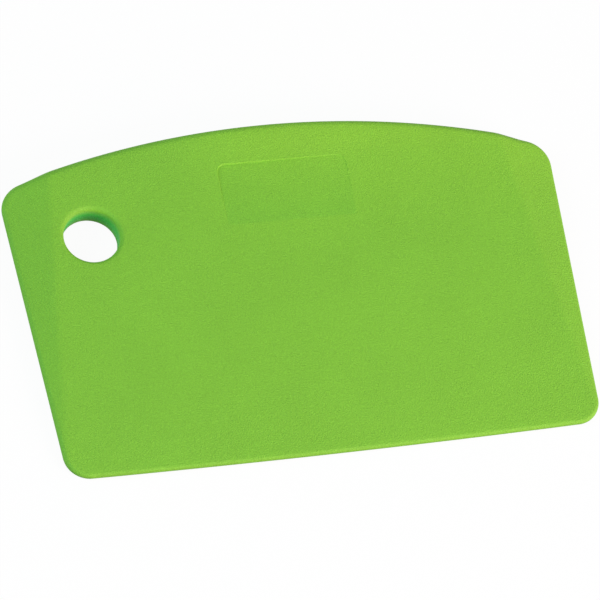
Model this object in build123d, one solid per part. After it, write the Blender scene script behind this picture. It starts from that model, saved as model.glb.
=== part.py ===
from build123d import *
import itertools
import math
import os

# Pan scraper: one solid plate of moulded plastic, thin at its blade and thick at its grip.
# The plate lies on its back: X runs along the blade, Y from the blade to the grip, Z out of
# the face. It is drawn about its middle plane, with the blade on Y = 0, and then laid down.

# Outline, in millimetres. Widths are measured between corners as if these were sharp.
blade_width = 137.7
blade_bow = 0.7
blade_corner_radius = 6.5
shoulder_width = 146.7
shoulder_height = 78.8
shoulder_corner_radius = 7.4
crown_rise = 12.2

# Thickness. Both faces rise from the blade to the crown, and fall away beside two creases,
# which start at the blade's corners and have moved in by the bevel's width at the shoulders.
# The rim is rounded all round, with a narrow flat left where the plate is thinnest.
edge_thickness = 2.1
edge_flat = 0.3
crown_thickness = 9.0
bevel_width = 13.1
crease_radius = 9.0

# Hanging hole, upper left, with the flat left between its rounding and the crease's, and the
# plastic left between the hole and the crown.
hang_hole_radius = 7.1
hang_hole_rim_radius = 1.4
hang_hole_crease_gap = 0.2
hang_hole_top_web = 13.5

# Shallow pocket in the grip, where the mould takes an exchangeable insert. It is deepest at its
# top, below the crown, and runs out at its bottom.
pocket_width = 34.2
pocket_height = 17.2
pocket_depth = 0.3
pocket_crown_gap = 10.8
pocket_corner_radius = 2.3

# Slopes of one face, up from the middle plane.
crown_height = shoulder_height + crown_rise
face_slope = (crown_thickness - edge_thickness) / 2 / crown_height
bevel_slope = face_slope * shoulder_height / bevel_width
rim_radius = (edge_thickness - edge_flat) / 2

# A side line leaves the blade's corner at this angle to Y.
flare_angle = math.atan2((shoulder_width - blade_width) / 2, shoulder_height)

# The crown is an arc through both shoulders.
crown_arc_radius = ((shoulder_width / 2) ** 2 + crown_rise**2) / (2 * crown_rise)
crown_arc_centre = Vector(0, crown_height - crown_arc_radius)


def along_side(side):
    """Direction of a side line, up from the blade: side is -1 on the left, 1 on the right."""
    return Vector(side * math.sin(flare_angle), math.cos(flare_angle))


def inward_from(side):
    """Direction square to a side line, into the plate."""
    return Vector(-side * math.cos(flare_angle), math.sin(flare_angle))


def crease_half_width():
    """Half the width of the blend between the left bevel and the main face."""
    bevel_normal = Vector(0, 0, 1) - inward_from(-1) * bevel_slope
    face_normal = Vector(0, -face_slope, 1)
    turn = math.radians(bevel_normal.get_angle(face_normal))
    return crease_radius * math.tan(turn / 2)


def hang_hole_centre():
    """Point beside the left crease and below the crown, at the hole's distance from each."""
    crease_start = Vector(-blade_width / 2, 0)
    crease_end = Vector(-shoulder_width / 2 + bevel_width / math.cos(flare_angle), shoulder_height)
    along = (crease_end - crease_start).normalized()
    rounding = hang_hole_radius + hang_hole_rim_radius
    inset = rounding + hang_hole_crease_gap + crease_half_width()
    start = crease_start + along.rotate(Axis.Z, -90) * inset
    reach = crown_arc_radius - hang_hole_radius - hang_hole_top_web
    offset = start - crown_arc_centre
    middle = offset.dot(along)
    travel = math.sqrt(middle**2 - offset.dot(offset) + reach**2) - middle
    return start + along * travel


def plan_outline():
    """Bowed blade, flared sides and arched crown, with rounded corners."""
    blade_right = Vector(blade_width / 2, 0)
    blade_left = Vector(-blade_width / 2, 0)
    shoulder_right = Vector(shoulder_width / 2, shoulder_height)
    shoulder_left = Vector(-shoulder_width / 2, shoulder_height)
    edges = [
        ThreePointArc(blade_left, Vector(0, -blade_bow), blade_right),
        Line(blade_right, shoulder_right),
        ThreePointArc(shoulder_right, Vector(0, crown_height), shoulder_left),
        Line(shoulder_left, blade_left),
    ]
    plan = make_face(edges)
    plan = fillet(plan.vertices().group_by(Axis.Y)[0], blade_corner_radius)
    return fillet(plan.vertices().group_by(Axis.Y)[-1], shoulder_corner_radius)


def wedge(edge_plane, slope, length):
    """Block that is as thick as the plate's edge at the plane's origin, and grows along its X.

    It starts where its two faces would meet, and runs both ways along the plane's Z.
    """
    half_edge = edge_thickness / 2
    reach = shoulder_width + crown_height
    far_half = half_edge + slope * reach
    tip = Vector(-half_edge / slope, 0)
    profile = make_face(Polyline(tip, Vector(reach, far_half), Vector(reach, -far_half), close=True))
    return extrude(edge_plane * profile, length, both=True)


def sharp_plate():
    """The outline cut to thickness by three wedges, one from the blade and one from each side."""
    plate = extrude(plan_outline(), crown_thickness, both=True)
    blade_plane = Plane(Vector(0, 0), x_dir=Vector(0, 1, 0), z_dir=Vector(1, 0, 0))
    plate &= wedge(blade_plane, face_slope, shoulder_width)
    for side in (-1, 1):
        corner = Vector(side * blade_width / 2, 0)
        side_plane = Plane(corner, x_dir=inward_from(side), z_dir=along_side(side))
        plate &= wedge(side_plane, bevel_slope, 2 * crown_height)
    return plate


def edges_between(faces, others):
    """Edges that a face of the one list shares with a face of the other."""
    other_edges = others.edges()
    return ShapeList(edge for edge in faces.edges() if edge in other_edges)


def round_creases(plate):
    """Blend each bevel softly into the main face beside it."""
    flats = plate.faces().filter_by(GeomType.PLANE)
    broad = flats.filter_by(lambda face: abs(face.normal_at().Z) > math.cos(math.radians(45)))
    pairs = itertools.combinations(broad, 2)
    creases = [edge for one, other in pairs for edge in one.edges() if edge in other.edges()]
    return plate.fillet(crease_radius, creases)


def round_rim(plate):
    """Round the outline's edges on both faces, all the way round."""
    upright = math.sin(math.radians(45))
    walls = plate.faces().filter_by(lambda face: abs(face.normal_at().Z) < upright)
    faces = plate.faces().filter_by(lambda face: abs(face.normal_at().Z) > upright)
    return plate.fillet(rim_radius, edges_between(walls, faces))


def cut_hang_hole(plate):
    """Bore the hanging hole square to the middle plane and round both of its rims."""
    centre = hang_hole_centre()
    plate -= Pos(centre) * Cylinder(hang_hole_radius, 2 * crown_thickness)
    bore = plate.faces().sort_by_distance(centre)[0]
    rims = bore.edges().filter_by(lambda edge: edge.is_closed)
    return plate.fillet(hang_hole_rim_radius, rims)


def cut_insert_pocket(plate):
    """Sink the pocket: its floor slopes less than the face, and meets it at the bottom."""
    bottom = crown_height - pocket_crown_gap - pocket_height
    face_at_bottom = edge_thickness / 2 + face_slope * bottom
    floor_slope = face_slope - pocket_depth / pocket_height
    plan = RectangleRounded(pocket_width, pocket_height, pocket_corner_radius)
    block = extrude(Pos(0, bottom + pocket_height / 2) * plan, crown_thickness)
    floor = Plane(Vector(0, bottom, face_at_bottom), x_dir=Vector(1, 0, 0), z_dir=Vector(0, -floor_slope, 1))
    return plate - split(block, bisect_by=floor, keep=Keep.TOP)


def lay_down(plate):
    """Turn the plate onto its back face and put its origin below the middle of its outline."""
    plate = Rot(math.degrees(math.atan(face_slope)), 0, 0) * plate
    box = plate.bounding_box()
    return Pos(-box.center().X, -box.center().Y, -box.min.Z) * plate


def scraper_plate():
    """The whole moulding."""
    plate = sharp_plate()
    plate = round_creases(plate)
    plate = round_rim(plate)
    plate = cut_hang_hole(plate)
    plate = cut_insert_pocket(plate)
    return lay_down(plate)


os.makedirs("parts", exist_ok=True)
export_step(scraper_plate(), "parts/scraper_plate.step")
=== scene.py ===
# %% [markdown]
# # A pan scraper, moulded in one piece
# This lesson dresses one object: a hand scraper of lime green plastic. The real one comes out of
# its mould in a single shot, so there is nothing to assemble. All of the work is in one shape,
# which is thin at its blade and thick at its grip, and in one finish, a fine matte grain.
# The first cell loads the imported CAD model. It is the fixed frame: everything here is measured in
# metres in its axes, and the box that is kept now tells where the finished piece is laid.

# %% Load the imported CAD model and keep its box
import math

import bpy
import numpy as np
from mathutils import Matrix, Vector, kdtree
from mathutils.geometry import delaunay_2d_cdt


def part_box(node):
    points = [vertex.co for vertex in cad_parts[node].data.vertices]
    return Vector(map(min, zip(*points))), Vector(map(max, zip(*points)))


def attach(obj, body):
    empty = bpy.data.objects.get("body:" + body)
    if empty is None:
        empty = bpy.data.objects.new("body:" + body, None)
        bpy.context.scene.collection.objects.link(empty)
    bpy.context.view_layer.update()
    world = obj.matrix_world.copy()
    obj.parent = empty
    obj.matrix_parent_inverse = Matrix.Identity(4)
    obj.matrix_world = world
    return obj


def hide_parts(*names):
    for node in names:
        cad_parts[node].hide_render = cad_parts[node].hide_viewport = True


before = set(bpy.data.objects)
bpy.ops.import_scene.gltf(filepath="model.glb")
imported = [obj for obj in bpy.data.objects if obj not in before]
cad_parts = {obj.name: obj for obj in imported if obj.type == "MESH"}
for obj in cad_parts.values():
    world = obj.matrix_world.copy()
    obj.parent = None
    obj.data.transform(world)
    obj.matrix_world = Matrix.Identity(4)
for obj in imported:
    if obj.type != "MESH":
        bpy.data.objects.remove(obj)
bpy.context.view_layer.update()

plate_low, plate_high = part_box("scraper_plate")
print("CAD box in mm:", [round(1000 * side, 2) for side in plate_high - plate_low])

# %% [markdown]
# ## The plate's sizes
# The sizes are those of the CAD source, in millimetres, because that is how a mould is drawn. The
# plate is symmetrical about a middle plane, like a double wedge. It is drawn about that plane, with
# the blade along X on Y = 0, and is laid on its back only at the very end.
#
# A few differ a little from the CAD source's, to follow the photograph's tones. The rim is rounded
# more along the crown, the hole's rims are rounded less, the pocket is a hair shallower, and both
# creases lie a third of a millimetre further left.

# %% Sizes of the outline and of the thickness
MM = 0.001
BLADE_WIDTH = 137.7
BLADE_BOW = 0.7
BLADE_CORNER_RADIUS = 6.5
SHOULDER_WIDTH = 146.7
SHOULDER_HEIGHT = 78.8
SHOULDER_CORNER_RADIUS = 7.4
CROWN_HEIGHT = 91.0

EDGE_HALF = 1.05
CROWN_HALF = 4.5
BEVEL_WIDTH = 13.1
CREASE_SHIFT = 0.35
CREASE_BLEND = 0.357
THIN_RIM_ROUNDING = 0.9
CROWN_ROUNDING = 2.3

face_slope = (CROWN_HALF - EDGE_HALF) / CROWN_HEIGHT
bevel_slope = face_slope * SHOULDER_HEIGHT / BEVEL_WIDTH
flare = math.atan2((SHOULDER_WIDTH - BLADE_WIDTH) / 2, SHOULDER_HEIGHT)
print(f"face slope {face_slope:.4f}, bevel slope {bevel_slope:.4f}")
print(f"the sides flare by {math.degrees(flare):.2f} degrees")

# %% Sizes of the hanging hole, the pocket and the parting ridge
HOLE_CENTRE = Vector((-52.1048, 63.7015))
HOLE_RADIUS = 7.1
HOLE_ROUNDING = 1.25

POCKET_WIDTH = 34.2
POCKET_HEIGHT = 17.2
POCKET_DEPTH = 0.27
POCKET_TOP = CROWN_HEIGHT - 10.8
POCKET_CORNER_RADIUS = 2.3

PARTING_RIDGE = 0.02
PARTING_HALF_WIDTH = 0.12
RIDGE_ROOM = 0.03
print(f"hole {2 * HOLE_RADIUS} mm wide, {CROWN_HEIGHT - HOLE_CENTRE.y:.1f} mm below the crown's top")
print(f"pocket from {POCKET_TOP - POCKET_HEIGHT:.1f} to {POCKET_TOP:.1f} mm above the blade")

# %% [markdown]
# ## The outline
# A bowed blade, two flared sides and an arched crown, with four rounded corners. Every part of it is
# an arc or a straight line, and every arc bulges outwards, so that the way into the plate is always
# towards the arc's own centre. A corner's centre is where a line beside the side meets a circle
# inside the big arc. Only the right half is drawn, and the left half is its mirror image. The
# outline could also be one Bezier curve, but its handles would only come near to these arcs.


# %% Points along one arc or line, with the way into the plate
def arc_points(centre, radius, start, end, spacing):
    """Points on an arc from one angle to the other, the last left off, each with its inward way."""
    count = max(2, round(abs(end - start) * radius / spacing))
    points = []
    for step in range(count):
        angle = start + (end - start) * step / count
        outward = Vector((math.cos(angle), math.sin(angle)))
        points.append((centre + outward * radius, -outward))
    return points


def line_points(start, end, inward, spacing):
    """Points on a straight line, the last left off, each with its inward way."""
    count = max(2, round((end - start).length / spacing))
    return [(start.lerp(end, step / count), inward) for step in range(count)]


# %% Centres of the big arcs and of the corners
blade_arc_radius = ((BLADE_WIDTH / 2) ** 2 + BLADE_BOW**2) / (2 * BLADE_BOW)
blade_arc_centre = Vector((0, blade_arc_radius - BLADE_BOW))
crown_rise = CROWN_HEIGHT - SHOULDER_HEIGHT
crown_arc_radius = ((SHOULDER_WIDTH / 2) ** 2 + crown_rise**2) / (2 * crown_rise)
crown_arc_centre = Vector((0, CROWN_HEIGHT - crown_arc_radius))

side_start = Vector((BLADE_WIDTH / 2, 0))
side_along = Vector((math.sin(flare), math.cos(flare)))
side_inward = Vector((-math.cos(flare), math.sin(flare)))


def corner_centre(corner_radius, arc_centre, arc_radius, end):
    """Centre of the corner between the right side and a big arc: end is -1 below, 1 above."""
    start = side_start + side_inward * corner_radius
    offset = start - arc_centre
    middle = offset.dot(side_along)
    reach = arc_radius - corner_radius
    root = math.sqrt(middle**2 - offset.length_squared + reach**2)
    return start + side_along * (end * root - middle)


blade_corner = corner_centre(BLADE_CORNER_RADIUS, blade_arc_centre, blade_arc_radius, -1)
shoulder_corner = corner_centre(SHOULDER_CORNER_RADIUS, crown_arc_centre, crown_arc_radius, 1)
print("corner centres in mm:", tuple(blade_corner), tuple(shoulder_corner))

# %% The whole outline, anticlockwise from the middle of the blade
SIDE_SPACING = 0.6
CROWN_SPACING = 0.5
CORNER_SPACING = 0.35


def right_half_outline():
    """The right half, from the middle of the blade to the middle of the crown."""
    blade_turn = blade_corner - blade_arc_centre
    blade_turn = math.atan2(blade_turn.y, blade_turn.x)
    crown_turn = shoulder_corner - crown_arc_centre
    crown_turn = math.atan2(crown_turn.y, crown_turn.x)
    side_low = blade_corner - side_inward * BLADE_CORNER_RADIUS
    side_high = shoulder_corner - side_inward * SHOULDER_CORNER_RADIUS
    down = -math.pi / 2
    up = math.pi / 2
    return [
        *arc_points(blade_arc_centre, blade_arc_radius, down, blade_turn, SIDE_SPACING),
        *arc_points(blade_corner, BLADE_CORNER_RADIUS, blade_turn, -flare, CORNER_SPACING),
        *line_points(side_low, side_high, side_inward, SIDE_SPACING),
        *arc_points(shoulder_corner, SHOULDER_CORNER_RADIUS, -flare, crown_turn, CORNER_SPACING),
        *arc_points(crown_arc_centre, crown_arc_radius, crown_turn, up, CROWN_SPACING),
    ]


right_half = right_half_outline()
crown_middle = (Vector((0, CROWN_HEIGHT)), Vector((0, -1)))
left_half = [
    (Vector((-point.x, point.y)), Vector((-inward.x, inward.y)))
    for point, inward in reversed(right_half[1:])
]
outline = [*right_half, crown_middle, *left_half]
print(len(outline), "points on the outline")

# %% [markdown]
# ## A sheet that knows where it will curve
# The plate's faces are nearly flat, and all of the curving happens in narrow bands: at the rim,
# round the hole, along the two creases and at the pocket's edges. A flat sheet of triangles is made
# first, fine in those bands and coarse between them. Rounded bands are rings of quads whose spacing
# follows the rounding, close together where it will be steep. The rest is filled by a Delaunay
# triangulation, which keeps the triangles as even as the points allow. An even grid fine enough for
# the bands would do too, but it would need more than ten times as many triangles.
#
# The rim is rounded less where the plate is thin. Each point therefore carries two numbers, its gap
# from the rim and the radius of the rounding there, which the node tree reads later.

# %% Thickness at the rim, and the rounding that it leaves room for
ROUNDING_BLEND = 0.4


def soft_minimum(one, other, reach):
    """The smaller of two numbers, blended where they are nearly equal."""
    overlap = max(reach - abs(one - other), 0) / reach
    return min(one, other) - overlap**3 * reach / 6


def rim_rounding(point):
    """Radius of the rounding at a point of the outline."""
    beside = BLADE_WIDTH / 2 - abs(point.x + CREASE_SHIFT)
    from_side = beside * math.cos(flare) + point.y * math.sin(flare)
    blade_half = EDGE_HALF + face_slope * point.y
    half = soft_minimum(blade_half, EDGE_HALF + bevel_slope * from_side, CREASE_BLEND)
    return soft_minimum(half * THIN_RIM_ROUNDING / EDGE_HALF, CROWN_ROUNDING, ROUNDING_BLEND)


# %% Rings of the rim and of the hanging hole
RING_COUNT = 9
HOLE_STEPS = 120
ring_insets = [1 - math.cos(math.pi / 2 * ring / RING_COUNT) for ring in range(RING_COUNT + 1)]

rim_rings = []
for inset in ring_insets:
    rim_rings.append([])
    for point, inward in outline:
        rounding = rim_rounding(point)
        gap = rounding * inset
        rim_rings[-1].append((point + inward * (RIDGE_ROOM + gap), gap, rounding))

hole_turns = [2 * math.pi * step / HOLE_STEPS for step in range(HOLE_STEPS)]
hole_ways = [Vector((math.cos(turn), math.sin(turn))) for turn in hole_turns]
hole_rings = []
for inset in ring_insets:
    radius = HOLE_RADIUS + HOLE_ROUNDING * inset
    hole_rings.append([HOLE_CENTRE + way * radius for way in hole_ways])
roundings = [rounding for _, _, rounding in rim_rings[0]]
print(f"the rim is rounded by {min(roundings):.2f} to {max(roundings):.2f} mm")


# %% Points that are placed only where there is room for them
def inside_loop(points, loop):
    """Whether each point is inside a closed loop, by counting crossings."""
    points = np.array(points)
    starts = np.array(loop)
    ends = np.roll(starts, -1, axis=0)
    x, y = points[:, :1], points[:, 1:]
    spans = (starts[:, 1] > y) != (ends[:, 1] > y)
    rise = np.where(ends[:, 1] == starts[:, 1], 1, ends[:, 1] - starts[:, 1])
    crossing = starts[:, 0] + (y - starts[:, 1]) / rise * (ends[:, 0] - starts[:, 0])
    return (spans & (x < crossing)).sum(axis=1) % 2 == 1


def with_room(candidates, placed, room):
    """The candidates that are further than room from every placed point."""
    tree = kdtree.KDTree(len(placed))
    for number, point in enumerate(placed):
        tree.insert(Vector((*point, 0)), number)
    tree.balance()
    return [point for point in candidates if tree.find(Vector((*point, 0)))[2] > room]


rim_loop = [tuple(point) for point, _, _ in rim_rings[-1]]
hole_loop = [tuple(point) for point in hole_rings[-1]]


def on_the_face(candidates):
    """The candidates that are inside the rim's last ring and outside the hole's."""
    kept = inside_loop(candidates, rim_loop) & ~inside_loop(candidates, hole_loop)
    return [tuple(point) for point, is_kept in zip(candidates, kept) if is_kept]


# %% Rings round the pocket, closest together at its edge
POCKET_RINGS = (
    *(-1.1, -0.7, -0.42, -0.3, -0.24, -0.19, -0.15, -0.11),
    *(-0.08, -0.05, -0.02, 0.01, 0.05, 0.12, 0.3, 0.7),
)
POCKET_CORNER_SPACING = 0.3
POCKET_SIDE_SPACING = 0.5
quarter_turn = math.pi / 2


def pocket_loop(grown):
    """The pocket's rounded rectangle, grown outwards by a distance."""
    radius = POCKET_CORNER_RADIUS + grown
    half_width = POCKET_WIDTH / 2 - POCKET_CORNER_RADIUS
    half_height = POCKET_HEIGHT / 2 - POCKET_CORNER_RADIUS
    middle = Vector((0, POCKET_TOP - POCKET_HEIGHT / 2))
    spacing = POCKET_CORNER_SPACING * radius / POCKET_CORNER_RADIUS
    loop = []
    for quarter, (right, up) in enumerate([(1, 1), (-1, 1), (-1, -1), (1, -1)]):
        corner = middle + Vector((right * half_width, up * half_height))
        start = quarter * quarter_turn
        stop = start + quarter_turn
        loop += [point for point, _ in arc_points(corner, radius, start, stop, spacing)]
        run = (-right * 2 * half_width, 0) if quarter % 2 == 0 else (0, -up * 2 * half_height)
        run_start = corner + Vector((math.cos(stop), math.sin(stop))) * radius
        run_end = run_start + Vector(run)
        loop += [point for point, _ in line_points(run_start, run_end, None, POCKET_SIDE_SPACING)]
    return loop


pocket_points = [tuple(point) for grown in POCKET_RINGS for point in pocket_loop(grown)]
print(len(pocket_points), "points round the pocket")

# %% Rows along the two creases
ROWS_BESIDE_CREASE = 8
CREASE_ROW_SPACING = 0.22
CREASE_STEP = 0.75
CREASE_STEPS = 125
CREASE_ROOM = 0.3

crease_start = Vector((BLADE_WIDTH / 2, 0))
crease_end = Vector((SHOULDER_WIDTH / 2 - BEVEL_WIDTH / math.cos(flare), SHOULDER_HEIGHT))
crease_way = (crease_end - crease_start).normalized()
crease_across = Vector((crease_way.y, -crease_way.x))

crease_points = []
for row in range(-ROWS_BESIDE_CREASE, ROWS_BESIDE_CREASE + 1):
    for step in range(CREASE_STEPS):
        aside = crease_across * (row * CREASE_ROW_SPACING)
        point = crease_start + crease_way * step * CREASE_STEP + aside
        crease_points += [(side * point.x - CREASE_SHIFT, point.y) for side in (-1, 1)]
placed = [*rim_loop, *hole_loop, *pocket_points]
crease_points = with_room(on_the_face(crease_points), placed, CREASE_ROOM)
print(len(crease_points), "points along the creases")

# %% An even pattern of triangles for the rest
GRID = 1.5
ROW_SHARE = 0.866
COLUMNS_EACH_SIDE = 50
GRID_ROOM = 0.62

grid_points = []
for row in range(-1, round(CROWN_HEIGHT / (GRID * ROW_SHARE)) + 1):
    for column in range(-COLUMNS_EACH_SIDE, COLUMNS_EACH_SIDE + 1):
        grid_points.append(((column + row % 2 / 2) * GRID, row * GRID * ROW_SHARE))
placed += crease_points
grid_points = with_room(on_the_face(grid_points), placed, GRID_ROOM * GRID)
print(len(grid_points), "points on the rest of the face")

# %% Rings of quads
sheet_points = [tuple(point) for ring in rim_rings for point, _, _ in ring]
rim_gap = [gap for ring in rim_rings for _, gap, _ in ring]
rim_radius = [rounding for ring in rim_rings for _, _, rounding in ring]
hole_offset = len(sheet_points)
sheet_points += [tuple(point) for ring in hole_rings for point in ring]


def ring_quads(offset, steps, swapped):
    """Quads between neighbouring rings of a band, all facing up."""
    quads = []
    for ring in range(RING_COUNT):
        for step in range(steps):
            near = offset + ring * steps
            far = near + steps
            following = (step + 1) % steps
            quad = (near + step, near + following, far + following, far + step)
            quads.append(quad[::-1] if swapped else quad)
    return quads


sheet_faces = ring_quads(0, len(outline), False) + ring_quads(hole_offset, HOLE_STEPS, True)
print(len(sheet_faces), "quads in the rings")

# %% Triangles between the rings, joined with them into the flat sheet
INSIDE_ONLY = 1
TOUCHING = 1e-6

rim_last = [RING_COUNT * len(outline) + step for step in range(len(outline))]
hole_last = [hole_offset + RING_COUNT * HOLE_STEPS + step for step in range(HOLE_STEPS)]
inner_points = [*pocket_points, *crease_points, *grid_points]
inner_numbers = [len(sheet_points) + number for number in range(len(inner_points))]
sheet_points += inner_points
filled = [*rim_last, *hole_last, *inner_numbers]


def loop_edges(first, count):
    """Edges of a closed loop of points with running numbers."""
    return [(first + step, first + (step + 1) % count) for step in range(count)]


fill_start = [Vector(sheet_points[number]) for number in filled]
fill_edges = loop_edges(0, len(rim_last)) + loop_edges(len(rim_last), len(hole_last))
fill_points, _, fill_faces, _, _, _ = delaunay_2d_cdt(
    fill_start, fill_edges, [], INSIDE_ONLY, TOUCHING
)
assert len(fill_points) == len(filled), "the triangulation has added or merged points"
fill_middles = [sum((fill_points[i] for i in face), Vector((0, 0))) / 3 for face in fill_faces]
in_hole = inside_loop([tuple(middle) for middle in fill_middles], hole_loop)
for face, dropped in zip(fill_faces, in_hole):
    if not dropped:
        sheet_faces.append(tuple(filled[number] for number in face))
print(len(sheet_points), "points and", len(sheet_faces), "faces in the sheet")

# %% The sheet as a mesh, with its two numbers for each point
# Away from the rim the gap is larger than the radius, so nothing is rounded there.
AWAY_FROM_RIM = {"rim_gap": 10.0, "rim_radius": 1.0}

sheet_mesh = bpy.data.meshes.new("plan_sheet")
sheet_mesh.from_pydata([(x * MM, y * MM, 0) for x, y in sheet_points], [], sheet_faces)
beyond_rim = len(sheet_points) - len(rim_gap)
for name, values in (("rim_gap", rim_gap), ("rim_radius", rim_radius)):
    attribute = sheet_mesh.attributes.new(name, "FLOAT", "POINT")
    metres = [value * MM for value in [*values, *[AWAY_FROM_RIM[name]] * beyond_rim]]
    attribute.data.foreach_set("value", metres)
plan_sheet = bpy.data.objects.new("plan_sheet", sheet_mesh)
bpy.context.scene.collection.objects.link(plan_sheet)
print(beyond_rim, "of", len(sheet_mesh.vertices), "vertices are away from the rim")

# %% [markdown]
# ## Node helpers
# The rule for the thickness is a chain of sums, so the trees below are mostly Math nodes. A helper
# adds one node and joins it to its inputs, each of which may be a number or the output of another
# node. With it, a formula in the tree reads almost like the formula on paper.


# %% Helpers that add one node each
def join(tree, value, socket):
    """Join a node's output to a socket, or set the socket to a plain value."""
    if isinstance(value, bpy.types.NodeSocket):
        tree.links.new(value, socket)
    else:
        socket.default_value = value


def add_node(tree, kind, inputs=None, **settings):
    """Add a node, set its settings and join its named inputs."""
    node = tree.nodes.new(kind)
    for name, setting in settings.items():
        setattr(node, name, setting)
    for name, value in (inputs or {}).items():
        join(tree, value, node.inputs[name])
    return node


def calculate(tree, operation, *values):
    """A Math node on numbers or sockets."""
    node = add_node(tree, "ShaderNodeMath", operation=operation)
    for value, socket in zip(values, node.inputs):
        join(tree, value, socket)
    return node.outputs[0]


# %% [markdown]
# ## One half of the moulding
# A mould for this plate has two halves that meet at the middle plane, and the tree copies that. It
# raises the sheet's top to the height that a rule gives and lets a wall grow under its open edges,
# down to the middle plane. Geometry Nodes suit this, because the plate's shape is that one rule, and
# every size in it is an input with a name.

# %% Named inputs of the tree
plate_inputs = {
    "Edge half thickness": EDGE_HALF * MM,
    "Face slope": face_slope,
    "Bevel slope": bevel_slope,
    "Half width at blade": BLADE_WIDTH / 2 * MM,
    "Flare sine": math.sin(flare),
    "Flare cosine": math.cos(flare),
    "Crease blend": CREASE_BLEND * MM,
    "Crease shift": CREASE_SHIFT * MM,
    "Hole centre X": HOLE_CENTRE.x * MM,
    "Hole centre Y": HOLE_CENTRE.y * MM,
    "Hole radius": HOLE_RADIUS * MM,
    "Hole rounding": HOLE_ROUNDING * MM,
    "Pocket half width": POCKET_WIDTH / 2 * MM,
    "Pocket half height": POCKET_HEIGHT / 2 * MM,
    "Pocket middle": (POCKET_TOP - POCKET_HEIGHT / 2) * MM,
    "Pocket corner radius": POCKET_CORNER_RADIUS * MM,
    "Pocket wall slope": 4.3,
    "Pocket wall skew": 1.8,
    "Pocket edge blend": 0.04 * MM,
    "Pocket tilt": POCKET_DEPTH / POCKET_HEIGHT,
    "Pocket skew": 0.65,
    "Crown arc radius": crown_arc_radius * MM,
    "Crown arc centre": crown_arc_centre.y * MM,
    "Sink depth": 0.15 * MM,
    "Sink at pocket": 0.35 * MM,
    "Sink from side": 14.0 * MM,
    "Sink middle": 8.0 * MM,
    "Sink half width": 30.0 * MM,
    "Sink below crown": 9.0 * MM,
    "Sink lowest": 76.0 * MM,
    "Sink fade": 30.0 * MM,
    "Parting ridge": PARTING_RIDGE * MM,
    "Parting half width": PARTING_HALF_WIDTH * MM,
}


def new_tree(name):
    """A Geometry Nodes tree with the plate's named inputs and one geometry in and out."""
    tree = bpy.data.node_groups.new(name, "GeometryNodeTree")
    tree.interface.new_socket("Sheet", in_out="INPUT", socket_type="NodeSocketGeometry")
    for size, value in plate_inputs.items():
        socket = tree.interface.new_socket(size, in_out="INPUT", socket_type="NodeSocketFloat")
        socket.default_value = value
    tree.interface.new_socket("Plate", in_out="OUTPUT", socket_type="NodeSocketGeometry")
    return tree


half_tree = new_tree("half_of_the_moulding")
half_tree.interface.new_socket("With pocket", in_out="INPUT", socket_type="NodeSocketBool")
sizes = half_tree.nodes.new("NodeGroupInput").outputs
position = half_tree.nodes.new("GeometryNodeInputPosition")
place = add_node(half_tree, "ShaderNodeSeparateXYZ", {"Vector": position.outputs[0]})
across = place.outputs["X"]
up = place.outputs["Y"]
print(len(plate_inputs), "named sizes")

# %% [markdown]
# ## The wedges and the sink
# The face's height is the lowest of three wedges, one from the blade and one from each side. A
# smooth minimum blends them, so that the creases between them are soft, as they are on the real
# plate. A bevel on hard creases would look much the same, but it needs edges exactly along them.
#
# Where plastic is thick it shrinks as it cools, which draws the face in a little: a sink. This one
# is a band below the crown, deepest round the pocket. It fades out towards the crown's edge, the
# sides and the blade, where the plastic is thinner or cools first.


# %% The wedges and their creases
def half(operation, *values):
    """A Math node in the tree of the half."""
    return calculate(half_tree, operation, *values)


blade_wedge = half("MULTIPLY_ADD", up, sizes["Face slope"], sizes["Edge half thickness"])
shifted = half("ADD", across, sizes["Crease shift"])
from_side_line = half("SUBTRACT", sizes["Half width at blade"], half("ABSOLUTE", shifted))
from_side_line = half("MULTIPLY", from_side_line, sizes["Flare cosine"])
from_side_line = half("MULTIPLY_ADD", up, sizes["Flare sine"], from_side_line)
bevel = sizes["Bevel slope"]
side_wedge = half("MULTIPLY_ADD", from_side_line, bevel, sizes["Edge half thickness"])
face_height = half("SMOOTH_MIN", blade_wedge, side_wedge, sizes["Crease blend"])
print(len(half_tree.nodes), "nodes for the wedges")


# %% The sink in the thick grip
def bell(distance, width):
    """A bell curve: 1 at no distance, and soon nothing beyond the width."""
    share = half("DIVIDE", distance, width)
    return half("EXPONENT", half("MULTIPLY", half("MULTIPLY", share, share), -1.0))


from_arc_centre = half("SUBTRACT", up, sizes["Crown arc centre"])
squares = half("MULTIPLY_ADD", across, across, half("MULTIPLY", from_arc_centre, from_arc_centre))
below_crown = half("SUBTRACT", sizes["Crown arc radius"], half("SQRT", squares))
flank = half("SUBTRACT", 1.0, bell(below_crown, sizes["Sink below crown"]))
fade = bell(half("MAXIMUM", half("SUBTRACT", sizes["Sink lowest"], up), 0.0), sizes["Sink fade"])
at_pocket = half("DIVIDE", half("SUBTRACT", across, sizes["Sink middle"]), sizes["Sink half width"])
at_pocket = bell(half("MULTIPLY", at_pocket, at_pocket), 1.0)
depth = half("MULTIPLY_ADD", at_pocket, sizes["Sink at pocket"], sizes["Sink depth"])
from_side = bell(half("MAXIMUM", from_side_line, 0.0), sizes["Sink from side"])
sink = half("MULTIPLY", half("MULTIPLY", flank, fade), depth)
sink = half("MULTIPLY", sink, half("SUBTRACT", 1.0, from_side))
print(len(half_tree.nodes), "nodes with the sink")

# %% [markdown]
# ## The pocket
# The mould leaves a shallow rounded rectangle in the front of the grip. Its floor slopes less than
# the face, so it is deepest at the top and runs out where the face meets it. It is also deeper at
# its left than at its right, and its walls are gentler there. A Boolean could cut it, but would
# leave thin triangles. Here the rings of points round its edge are already in the sheet. The pocket
# is the higher of a floor and a wall, and the wall follows from the distance to a rounded rectangle.


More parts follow.
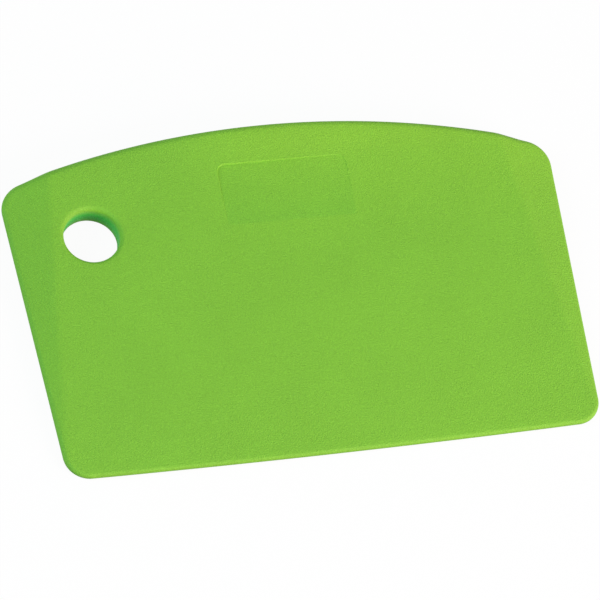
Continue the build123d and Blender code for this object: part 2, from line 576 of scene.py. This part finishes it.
# %% Distance from the pocket's edge, negative inside
def beyond_pocket_side(distance, half_size):
    """How far a point is beyond the straight part of the pocket's side, negative inside."""
    straight = half("SUBTRACT", half_size, sizes["Pocket corner radius"])
    return half("SUBTRACT", half("ABSOLUTE", distance), straight)


from_pocket_middle = half("SUBTRACT", up, sizes["Pocket middle"])
beyond_x = beyond_pocket_side(across, sizes["Pocket half width"])
beyond_y = beyond_pocket_side(from_pocket_middle, sizes["Pocket half height"])
outer_x = half("MAXIMUM", beyond_x, 0.0)
outer_y = half("MAXIMUM", beyond_y, 0.0)
outer_squares = half("MULTIPLY_ADD", outer_x, outer_x, half("MULTIPLY", outer_y, outer_y))
corner_gap = half("SQRT", outer_squares)
inner_gap = half("MINIMUM", half("MAXIMUM", beyond_x, beyond_y), 0.0)
from_pocket = half("SUBTRACT", half("ADD", corner_gap, inner_gap), sizes["Pocket corner radius"])
print(len(half_tree.nodes), "nodes with the pocket's edge")

# %% The pocket's floor and wall, on the front half only
pocket_bottom = half("SUBTRACT", sizes["Pocket middle"], sizes["Pocket half height"])
above_bottom = half("SUBTRACT", up, pocket_bottom)
from_middle = half("DIVIDE", across, sizes["Pocket half width"])
from_middle = half("MAXIMUM", half("MINIMUM", from_middle, 1.0), -1.0)
skew = half("SUBTRACT", 1.0, half("MULTIPLY", from_middle, sizes["Pocket skew"]))
tilt_here = half("MULTIPLY", sizes["Pocket tilt"], skew)
steepness = sizes["Pocket wall slope"]
wall_slope = half("MULTIPLY_ADD", from_middle, sizes["Pocket wall skew"], steepness)
pocket_floor = half("SUBTRACT", face_height, half("MULTIPLY", above_bottom, tilt_here))
pocket_wall = half("MULTIPLY_ADD", from_pocket, wall_slope, face_height)
pocket_shape = half("SMOOTH_MAX", pocket_floor, pocket_wall, sizes["Pocket edge blend"])
pocketed_height = half("SMOOTH_MIN", face_height, pocket_shape, sizes["Pocket edge blend"])
pocket_switch = add_node(
    half_tree,
    "GeometryNodeSwitch",
    {"Switch": sizes["With pocket"], "False": face_height, "True": pocketed_height},
    input_type="FLOAT",
)
print(len(half_tree.nodes), "nodes with the pocket")

# %% [markdown]
# ## Rounded edges, walls and the parting ridge
# No edge of the real plate is sharp. A rounded edge is a quarter of a circle, so a point's drop
# below the face follows from its gap to the edge and from the radius. A Bevel modifier could round
# the rim too, but each edge would need a weight to keep the rounding in step with the thickness.
#
# The walls are made by extruding the sheet twice without moving it, and then lifting the top of each
# extrusion: first by the parting ridge's half width, and then to the full height. At the middle
# plane a moulded plate keeps a hair-fine ridge, where plastic has crept between the mould's halves.
# The lowest points are pushed outwards for it.


# %% The roundings of the rim and of the hole
def rounding_drop(gap, radius):
    """How far a rounded edge has dropped below the face, a gap away from the edge."""
    from_flat = half("MAXIMUM", half("SUBTRACT", radius, gap), 0.0)
    flat_square = half("MULTIPLY", from_flat, from_flat)
    square = half("SUBTRACT", half("MULTIPLY", radius, radius), flat_square)
    return half("SUBTRACT", radius, half("SQRT", half("MAXIMUM", square, 0.0)))


def carried(name):
    """A number that each point of the sheet carries."""
    kind = "GeometryNodeInputNamedAttribute"
    return add_node(half_tree, kind, {"Name": name}, data_type="FLOAT").outputs[0]


rim_drop = rounding_drop(carried("rim_gap"), carried("rim_radius"))
hole_x = half("SUBTRACT", across, sizes["Hole centre X"])
hole_y = half("SUBTRACT", up, sizes["Hole centre Y"])
from_hole = half("SQRT", half("MULTIPLY_ADD", hole_x, hole_x, half("MULTIPLY", hole_y, hole_y)))
from_hole = half("MAXIMUM", half("SUBTRACT", from_hole, sizes["Hole radius"]), 0.0)
hole_drop = rounding_drop(from_hole, sizes["Hole rounding"])
drop = half("ADD", half("ADD", rim_drop, hole_drop), sink)
top_height = half("SUBTRACT", pocket_switch.outputs[0], drop)
print(len(half_tree.nodes), "nodes with the roundings")


# %% Raising the sheet, and the wall below its open edges
def lifted(mesh, top, height):
    """Extrude the faces of the top without moving them, and then lift them to a height."""
    wall = add_node(
        half_tree,
        "GeometryNodeExtrudeMesh",
        {"Mesh": mesh, "Selection": top, "Offset Scale": 0.0, "Individual": False},
        mode="FACES",
    )
    lifted_place = add_node(half_tree, "ShaderNodeCombineXYZ", {"X": across, "Y": up, "Z": height})
    inputs = {
        "Geometry": wall.outputs["Mesh"],
        "Selection": wall.outputs["Top"],
        "Position": lifted_place.outputs[0],
    }
    raised = add_node(half_tree, "GeometryNodeSetPosition", inputs)
    return raised.outputs[0], wall.outputs["Top"]


band, band_top = lifted(sizes["Sheet"], True, sizes["Parting half width"])
raised, _ = lifted(band, band_top, top_height)

# %% The ridge at the parting plane
half_band = half("MULTIPLY", sizes["Parting half width"], 0.5)
at_parting = half("LESS_THAN", place.outputs["Z"], half_band)
normal = half_tree.nodes.new("GeometryNodeInputNormal")
outward = add_node(half_tree, "ShaderNodeVectorMath", operation="SCALE")
join(half_tree, normal.outputs[0], outward.inputs[0])
join(half_tree, sizes["Parting ridge"], outward.inputs["Scale"])
ridged = add_node(
    half_tree,
    "GeometryNodeSetPosition",
    {"Geometry": raised, "Selection": at_parting, "Offset": outward.outputs[0]},
)
add_node(half_tree, "NodeGroupOutput", {"Plate": ridged.outputs[0]})
print(len(half_tree.nodes), "nodes make one half")

# %% [markdown]
# ## Both halves, joined and laid down
# The second tree uses the half twice. The back is the same half without the pocket, mirrored, with
# its faces turned over so that they still point outwards. Their open edges meet point for point at
# the middle plane, so merging by distance closes the plate. The last nodes lean it by the slope of
# the face, which lays the back flat, and move it to where the CAD plate lies.

# %% Where the plate lies
lean = math.atan(face_slope)
thin_flat = EDGE_HALF - THIN_RIM_ROUNDING
blade_low = (THIN_RIM_ROUNDING - BLADE_BOW) * math.cos(lean)
blade_low -= thin_flat * math.sin(lean) + THIN_RIM_ROUNDING
lay_y = plate_low.y - blade_low * MM
lay_z = plate_low.z + EDGE_HALF * math.cos(lean) * MM
print(f"lean {math.degrees(lean):.3f} deg, moved by {lay_y / MM:.3f} and {lay_z / MM:.3f} mm")

# %% The tree of the whole plate
MERGE_DISTANCE = 1e-6

plate_tree = new_tree("whole_moulding")
for name, kind in (("Lean", "Float"), ("Lay Y", "Float"), ("Lay Z", "Float"), ("Plastic", "Material")):
    plate_tree.interface.new_socket(name, in_out="INPUT", socket_type="NodeSocket" + kind)
plate_in = plate_tree.nodes.new("NodeGroupInput").outputs


def moulding_half(with_pocket):
    """One half, with every size taken from the whole tree's inputs."""
    node = add_node(plate_tree, "GeometryNodeGroup", node_tree=half_tree)
    for name in ("Sheet", *plate_inputs):
        join(plate_tree, plate_in[name], node.inputs[name])
    node.inputs["With pocket"].default_value = with_pocket
    return node.outputs["Plate"]


def next_step(kind, **inputs):
    """A node of the whole tree with its named inputs, and what comes out of it."""
    return add_node(plate_tree, kind, inputs).outputs[0]


back = next_step("GeometryNodeTransform", Geometry=moulding_half(False), Scale=(1, 1, -1))
back = next_step("GeometryNodeFlipFaces", Mesh=back)
both = add_node(plate_tree, "GeometryNodeJoinGeometry")
join(plate_tree, moulding_half(True), both.inputs[0])
join(plate_tree, back, both.inputs[0])
both = both.outputs[0]
closed = next_step("GeometryNodeMergeByDistance", Geometry=both, Distance=MERGE_DISTANCE)
print(len(plate_tree.nodes), "nodes close the plate")

# %% Laid down, smooth, realized and given its plastic
turn = next_step("ShaderNodeCombineXYZ", X=plate_in["Lean"])
move = next_step("ShaderNodeCombineXYZ", Y=plate_in["Lay Y"], Z=plate_in["Lay Z"])
laid = next_step("GeometryNodeTransform", Geometry=closed, Rotation=turn, Translation=move)
smooth = next_step("GeometryNodeSetShadeSmooth", Geometry=laid)
realized = next_step("GeometryNodeRealizeInstances", Geometry=smooth)
finished = next_step("GeometryNodeSetMaterial", Geometry=realized, Material=plate_in["Plastic"])
add_node(plate_tree, "NodeGroupOutput", {"Plate": finished})
print(len(plate_tree.nodes), "nodes in the whole tree")

# %% [markdown]
# ## The plastic
# The real plate is polypropylene or nylon, to judge by its looks, coloured right through. The mould
# gives both faces a fine grain. Four things keep it from looking like paint on a screen. The colour
# drifts by a few percent, because the pigment is spread a little unevenly. A speckle of a fraction
# of a millimetre lies over that. The grain is a bump of less than a tenth of a millimetre, with
# cells of about a third of a millimetre. The roughness drifts too, as handling polishes the plate.
# A picture of real grain could be laid on instead, but it would need a map of the surface and would
# show its seams. All patterns read Object coordinates, so they stay where they are when the plate or
# the camera moves. Their scales are in cells per metre.

# %% The moulded plastic's material
lime_plastic = bpy.data.materials.new("lime_plastic")
lime_plastic.use_nodes = True
plastic = lime_plastic.node_tree
plastic.nodes.clear()
surface = plastic.nodes.new("ShaderNodeBsdfPrincipled")
add_node(plastic, "ShaderNodeOutputMaterial", {"Surface": surface.outputs[0]})
where = plastic.nodes.new("ShaderNodeTexCoord").outputs["Object"]
spot = add_node(plastic, "ShaderNodeSeparateXYZ", {"Vector": where}).outputs


def shader(operation, *values):
    """A Math node in the plastic's material."""
    return calculate(plastic, operation, *values)


def mottle(scale, detail, roughness=0.5):
    """A noise on Object coordinates, with a scale in cells per metre."""
    inputs = {"Vector": where, "Scale": scale, "Detail": detail, "Roughness": roughness}
    return add_node(plastic, "ShaderNodeTexNoise", inputs).outputs["Fac"]


# %% Colour, a few percent either side of the plastic's own
LIME = (0.213, 0.522, 0.0365)
BROAD_DRIFT = 60
FINE_DRIFT = 2600
DRIFT_SHARE = 0.5
COLOUR_SWING = 0.05
DEEPEST_AT = 0.3
PALEST_AT = 0.7

fine_drift = shader("MULTIPLY", mottle(FINE_DRIFT, 2), DRIFT_SHARE)
drift = shader("MULTIPLY_ADD", mottle(BROAD_DRIFT, 3), DRIFT_SHARE, fine_drift)
pigment = add_node(plastic, "ShaderNodeValToRGB", {"Fac": drift})
deep_end, pale_end = pigment.color_ramp.elements
deep_end.position = DEEPEST_AT
deep_end.color = (*(channel * (1 - COLOUR_SWING) for channel in LIME), 1)
pale_end.position = PALEST_AT
pale_end.color = (*(channel * (1 + COLOUR_SWING) for channel in LIME), 1)
print("deepest colour", [round(channel, 3) for channel in deep_end.color])
print("palest colour", [round(channel, 3) for channel in pale_end.color])

# %% The speckle, and a helper that multiplies a colour by a tint
# The Mix node has sockets of the same name for numbers, vectors and colours. These are the ones
# for colours, by their numbers.
MIX_SHARE, MIX_COLOUR, MIX_TINT = 0, 6, 7
MIX_RESULT = 2
SPECKLE_CELLS = 3600
SPECKLE_DEPTH = 0.52
SPECKLE_DARKEST = 0.74


def tinted(color, tint, share):
    """A colour multiplied by a tint, as far as the share says."""
    node = add_node(plastic, "ShaderNodeMix", data_type="RGBA", blend_type="MULTIPLY")
    join(plastic, share, node.inputs[MIX_SHARE])
    join(plastic, color, node.inputs[MIX_COLOUR])
    join(plastic, tint, node.inputs[MIX_TINT])
    return node.outputs[MIX_RESULT]


speckle = shader("MULTIPLY_ADD", mottle(SPECKLE_CELLS, 1), SPECKLE_DEPTH, SPECKLE_DARKEST)
speckled = tinted(pigment.outputs["Color"], speckle, 1.0)
print(len(plastic.nodes), "nodes for the colour and its speckle")

# %% [markdown]
# ## Painted light and shade
# The plate isn't one even green, and lamps alone don't give all of its tones, so some light and
# shade is painted into its colour. Its left end is a shade deeper, which is painted shade. Its grip
# and crown are a shade lighter, which is painted light. The pocket's floor is deeper, and the
# hanging hole's wall is a deep, bluer green, both painted shade. Each is a tint that multiplies the
# colour, and fades in and out along the plate. Painting the shades on the mesh would work too, but a
# finer mesh would then need new paint.


# %% Helpers for a shade's place
def ramp(value, start, end, low=0.0, high=1.0, kind="SMOOTHERSTEP"):
    """A number that goes from low at the start to high at the end, and stays level beyond."""
    inputs = {"Value": value, "From Min": start, "From Max": end, "To Min": low, "To Max": high}
    node = add_node(plastic, "ShaderNodeMapRange", inputs, interpolation_type=kind)
    return node.outputs["Result"]


def all_of(*shares):
    """Shares multiplied by each other, so that a shade lies only where all of them do."""
    product = shares[0]
    for share in shares[1:]:
        product = shader("MULTIPLY", product, share)
    return product


pocket_top_y = POCKET_TOP * math.cos(lean) * MM + lay_y
print(f"the laid plate has the pocket's top at Y = {pocket_top_y / MM:.2f} mm")

# %% Painted shade at the left end, painted light on the grip and the crown
# Painted shade: the left end is darkened, for the weaker light it gets from the key softbox at the
# right.
LEFT_END_PAINTED_SHADE = (0.965, 0.975, 1.0, 1.0)
LEFT_END_SHADE_SPAN = (5 * MM, -75 * MM)
# Painted light: the grip is lightened, most towards the right, where more light falls on it.
GRIP_PAINTED_LIGHT = (1.11, 1.062, 1.0, 1.0)
GRIP_LIGHT_SPAN = (pocket_top_y - 32 * MM, pocket_top_y + 5 * MM)
# Painted light: a band below the crown is lightened, most towards the right, where more light falls on
# it.
CROWN_PAINTED_LIGHT = (1.06, 1.02, 1.02, 1.0)
CROWN_LIGHT_SPAN = (pocket_top_y - 4 * MM, pocket_top_y + 6 * MM)
RIGHTWARDS = (-40 * MM, 10 * MM)

to_right = ramp(spot["X"], *RIGHTWARDS)
shaded = tinted(speckled, LEFT_END_PAINTED_SHADE, ramp(spot["X"], *LEFT_END_SHADE_SPAN))
shaded = tinted(shaded, GRIP_PAINTED_LIGHT, all_of(ramp(spot["Y"], *GRIP_LIGHT_SPAN), to_right))
shaded = tinted(shaded, CROWN_PAINTED_LIGHT, all_of(ramp(spot["Y"], *CROWN_LIGHT_SPAN), to_right))
print(len(plastic.nodes), "nodes with the left end, the grip and the crown")

# %% Painted shade on the pocket's floor, deepest at its bottom
# Painted shade: the recessed floor is darkened, least at its top and most at its bottom.
POCKET_FLOOR_PAINTED_SHADE = (0.905, 0.965, 1.0, 1.0)
FLOOR_FADE = 0.4 * MM
POCKET_SHADE_SHARE_AT_TOP = 0.2
FRONT_ONLY = (5 * MM, 5.5 * MM)
half_x = POCKET_WIDTH / 2 * MM
half_y = POCKET_HEIGHT / 2 * MM
pocket_middle_y = pocket_top_y - half_y
pocket_low_y = pocket_middle_y - half_y

from_pocket_x = shader("ABSOLUTE", spot["X"])
from_pocket_y = shader("ABSOLUTE", shader("SUBTRACT", spot["Y"], pocket_middle_y))
pocket_shade_share = all_of(
    ramp(from_pocket_x, half_x, half_x - FLOOR_FADE),
    ramp(from_pocket_y, half_y + FLOOR_FADE, half_y - FLOOR_FADE),
    ramp(spot["Y"], pocket_top_y, pocket_low_y, POCKET_SHADE_SHARE_AT_TOP, 1.0, "LINEAR"),
    ramp(spot["Z"], *FRONT_ONLY),
)
shaded = tinted(shaded, POCKET_FLOOR_PAINTED_SHADE, pocket_shade_share)
print(len(plastic.nodes), "nodes with the pocket's floor")

# %% Painted shade in the hanging hole, a deep green
# Painted shade: the hole's wall is darkened to a deep, bluer green, for the shade inside the hole and
# the light that bounces there off green plastic.
BORE_PAINTED_SHADE = (0.25, 0.95, 1.25, 1.0)
BORE_FADE = ((HOLE_RADIUS + 0.25) * MM, (HOLE_RADIUS + 0.02) * MM)
BORE_INWARDS = (2.95 * MM, 0.85 * MM)
bore_y = HOLE_CENTRE.y * math.cos(lean) * MM + lay_y
bore_z = HOLE_CENTRE.y * math.sin(lean) * MM + lay_z

flat_spot = add_node(plastic, "ShaderNodeCombineXYZ", {"X": spot["X"], "Y": spot["Y"]})
from_axis = add_node(plastic, "ShaderNodeVectorMath", operation="DISTANCE")
join(plastic, flat_spot.outputs[0], from_axis.inputs[0])
join(plastic, (HOLE_CENTRE.x * MM, bore_y, 0), from_axis.inputs[1])
from_bore_middle = shader("ABSOLUTE", shader("SUBTRACT", spot["Z"], bore_z))
bore_shade_share = all_of(
    ramp(from_axis.outputs["Value"], *BORE_FADE),
    ramp(from_bore_middle, *BORE_INWARDS, kind="LINEAR"),
)
shaded = tinted(shaded, BORE_PAINTED_SHADE, bore_shade_share)
join(plastic, shaded, surface.inputs["Base Color"])
print(f"the hole's middle lies at Y = {bore_y / MM:.2f}, Z = {bore_z / MM:.2f} mm")

# %% Grain and roughness
GRAIN_CELLS = 2900
GRAIN_ROUGHNESS = 0.6
GRAIN_HEIGHT = 0.22 * MM
WEAR_CELLS = 180
ROUGHNESS_SWING = 0.14
LOWEST_ROUGHNESS = 0.50
SPECULAR_LEVEL = 0.3

grain = mottle(GRAIN_CELLS, 2, GRAIN_ROUGHNESS)
bump_inputs = {"Height": grain, "Strength": 1.0, "Distance": GRAIN_HEIGHT}
fine_bump = add_node(plastic, "ShaderNodeBump", bump_inputs)
join(plastic, fine_bump.outputs[0], surface.inputs["Normal"])
gloss = shader("MULTIPLY_ADD", mottle(WEAR_CELLS, 3), ROUGHNESS_SWING, LOWEST_ROUGHNESS)
join(plastic, gloss, surface.inputs["Roughness"])
surface.inputs["Specular IOR Level"].default_value = SPECULAR_LEVEL
print(len(plastic.nodes), "nodes make the plastic")

# %% [markdown]
# ## Making the plate
# The modifier's inputs are set by their identifiers before the object is first evaluated. The
# evaluated result is then kept as a plain mesh, and the flat sheet with its modifier is removed. A
# live modifier would show the same, but a plain mesh can be handed to any other tool. The mesh then
# rides on the object's one body and stands for the CAD model's plate.


# %% Bake the tree into one mesh
def set_input(modifier, name, value):
    """Set a modifier's input by the identifier of the socket with that name."""
    items = modifier.node_group.interface.items_tree
    socket = next(item for item in items if item.name == name and item.in_out == "INPUT")
    modifier[socket.identifier] = value


moulding = plan_sheet.modifiers.new("moulding", "NODES")
moulding.node_group = plate_tree
last_inputs = {"Lean": lean, "Lay Y": lay_y, "Lay Z": lay_z, "Plastic": lime_plastic}
for name, value in {**plate_inputs, **last_inputs}.items():
    set_input(moulding, name, value)

depsgraph = bpy.context.evaluated_depsgraph_get()
plate_mesh = bpy.data.meshes.new_from_object(plan_sheet.evaluated_get(depsgraph))
plate_mesh.name = "scraper_plate_moulding"
plate = bpy.data.objects.new("scraper_plate_moulding", plate_mesh)
bpy.context.scene.collection.objects.link(plate)
plan_sheet.modifiers.remove(moulding)
bpy.data.objects.remove(plan_sheet)
print(len(plate_mesh.vertices), "vertices and", len(plate_mesh.polygons), "faces")
print("materials:", list(plate_mesh.materials))

# %% Place the plate in the frame
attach(plate, "root")
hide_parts("scraper_plate")
print(plate.name, "rides on the one body and stands for the CAD plate")

# %% [markdown]
# ## Floor and room
# The floor is a plain pale sheet. The camera sees the floor and the room as white, but the floor
# still shows the plate's soft shadow. The white is made in their materials, for rays that come from
# the camera or by way of a gloss, and not by more light, which would wash out the plate's colour.
# For all other rays the floor is darker, so that it throws little light onto the plate's sides.

# %% The floor's sheet
FLOOR_HALF = 3.0
FLOOR_DROP = 0.1 * MM

corners = [(-1, -1), (1, -1), (1, 1), (-1, 1)]
floor_points = [(x * FLOOR_HALF, y * FLOOR_HALF, -FLOOR_DROP) for x, y in corners]
floor_mesh = bpy.data.meshes.new("studio_floor")
floor_mesh.from_pydata(floor_points, [], [(0, 1, 2, 3)])
floor = bpy.data.objects.new("studio_floor", floor_mesh)
bpy.context.scene.collection.objects.link(floor)
print("floor", 2 * FLOOR_HALF, "m wide,", round(FLOOR_DROP / MM, 2), "mm below the plate")


# %% Helpers for a white that doesn't light the plate
def seen_directly(tree):
    """1 for rays from the camera, and for those that come by a gloss or through glass."""
    rays = tree.nodes.new("ShaderNodeLightPath").outputs
    seen = calculate(tree, "MAXIMUM", rays["Is Camera Ray"], rays["Is Glossy Ray"])
    return calculate(tree, "MAXIMUM", seen, rays["Is Transmission Ray"])


def mix_shaders(tree, share, one, other):
    """One shader, turning into the other as the share goes from 0 to 1."""
    node = add_node(tree, "ShaderNodeMixShader", {"Fac": share})
    # Both of its shader sockets are named Shader, so they are taken by their numbers.
    join(tree, one.outputs[0], node.inputs[1])
    join(tree, other.outputs[0], node.inputs[2])
    return node.outputs[0]


# %% The floor's paint
FLOOR_SHADOW = 0.05
FLOOR_TONE = 0.12
FLOOR_SEEN_TONE = 0.95
WHITE = (1, 1, 1, 1)

floor_paint = bpy.data.materials.new("pale_floor")
floor_paint.use_nodes = True
paint = floor_paint.node_tree
paint.nodes.clear()
floor_seen = seen_directly(paint)
tone = calculate(paint, "MULTIPLY_ADD", floor_seen, FLOOR_SEEN_TONE - FLOOR_TONE, FLOOR_TONE)
pale = add_node(paint, "ShaderNodeBsdfDiffuse", {"Color": tone})
white = add_node(paint, "ShaderNodeEmission", {"Color": WHITE, "Strength": 1.0})
white_share = calculate(paint, "MULTIPLY", floor_seen, 1 - FLOOR_SHADOW)
floor_mix = mix_shaders(paint, white_share, pale, white)
add_node(paint, "ShaderNodeOutputMaterial", {"Surface": floor_mix})
floor_mesh.materials.append(floor_paint)
print(len(paint.nodes), "nodes paint the floor")

# %% The room
ROOM_LIGHT = 0.39
ROOM_COLOUR = (0.92, 1.0, 1.0, 1)

world = bpy.data.worlds.new("studio")
bpy.context.scene.world = world
world.use_nodes = True
room = world.node_tree
room.nodes.clear()
walls = add_node(room, "ShaderNodeBackground", {"Color": ROOM_COLOUR, "Strength": ROOM_LIGHT})
backdrop = add_node(room, "ShaderNodeBackground", {"Color": WHITE, "Strength": 1.0})
room_mix = mix_shaders(room, seen_directly(room), walls, backdrop)
add_node(room, "ShaderNodeOutputWorld", {"Surface": room_mix})
print("the room's light is", ROOM_LIGHT, "of full white")

# %% [markdown]
# ## The softboxes
# Two broad softboxes light the plate. A warm key stands low at the lower right and draws the bright
# line along the blade. A weaker, cooler fill stands at the left. The room gives the rest. Their
# directions, colours and powers were found by rendering each light alone and adding the pictures
# up until the tones were those of the photograph.

# %% Two softboxes that look at the plate
SOFTBOX_DISTANCE = 1.2
SOFTBOX_SIZE = 0.7


def direction(azimuth, elevation):
    """Unit vector towards a place: azimuth 0 is in front, along -Y, and 90 is at the right."""
    azimuth, elevation = math.radians(azimuth), math.radians(elevation)
    level = math.cos(elevation)
    return Vector((math.sin(azimuth) * level, -math.cos(azimuth) * level, math.sin(elevation)))


def softbox(name, azimuth, elevation, power, color):
    """A square area light that looks at the plate."""
    data = bpy.data.lights.new(name, "AREA")
    data.shape = "SQUARE"
    data.size = SOFTBOX_SIZE
    data.energy = power
    data.color = color
    lamp = bpy.data.objects.new(name, data)
    towards = direction(azimuth, elevation)
    lamp.location = towards * SOFTBOX_DISTANCE
    lamp.rotation_euler = towards.to_track_quat("Z", "Y").to_euler()
    bpy.context.scene.collection.objects.link(lamp)
    print(name, "at", [round(v, 3) for v in lamp.location])


softbox("key_softbox", azimuth=45, elevation=20, power=19.6, color=(1.0, 0.77, 0.755))
softbox("fill_softbox", azimuth=270, elevation=32, power=7.3, color=(0.635, 0.935, 1.0))

# %% [markdown]
# ## The camera
# It looks down from the lower left, and is rolled, so that the blade runs up to the right in the
# picture. Its place, roll and lens were fitted together with the plate's outline, hole and creases
# to the photograph. It could also be turned by hand until the picture matches, but a long lens
# like this one hides small mistakes in distance that a fit finds.

# %% The camera's place and lens
AIM = Vector((-1.9603, -3.4369, 2.6319)) * MM
CAMERA_AZIMUTH = -31.099489
CAMERA_ELEVATION = 59.102760
CAMERA_ROLL = 21.746585
CAMERA_DISTANCE = 820.858 * MM
LENS = 195.5760
SENSOR_WIDTH = 36.0

camera_data = bpy.data.cameras.new("photo_camera")
camera_data.sensor_width = SENSOR_WIDTH
camera_data.lens = LENS
camera = bpy.data.objects.new("photo_camera", camera_data)
bpy.context.scene.collection.objects.link(camera)
backwards = direction(CAMERA_AZIMUTH, CAMERA_ELEVATION)
level_right = Vector((0, 0, 1)).cross(backwards).normalized()
level_up = backwards.cross(level_right)
roll = math.radians(CAMERA_ROLL)
right = level_right * math.cos(roll) + level_up * math.sin(roll)
upright = level_up * math.cos(roll) - level_right * math.sin(roll)
turned = Matrix((right, upright, backwards)).transposed().to_4x4()
camera.matrix_world = Matrix.Translation(AIM + backwards * CAMERA_DISTANCE) @ turned
bpy.context.scene.camera = camera
bpy.context.scene.view_settings.view_transform = "Standard"
print("camera at", [round(v, 3) for v in camera.matrix_world.translation])
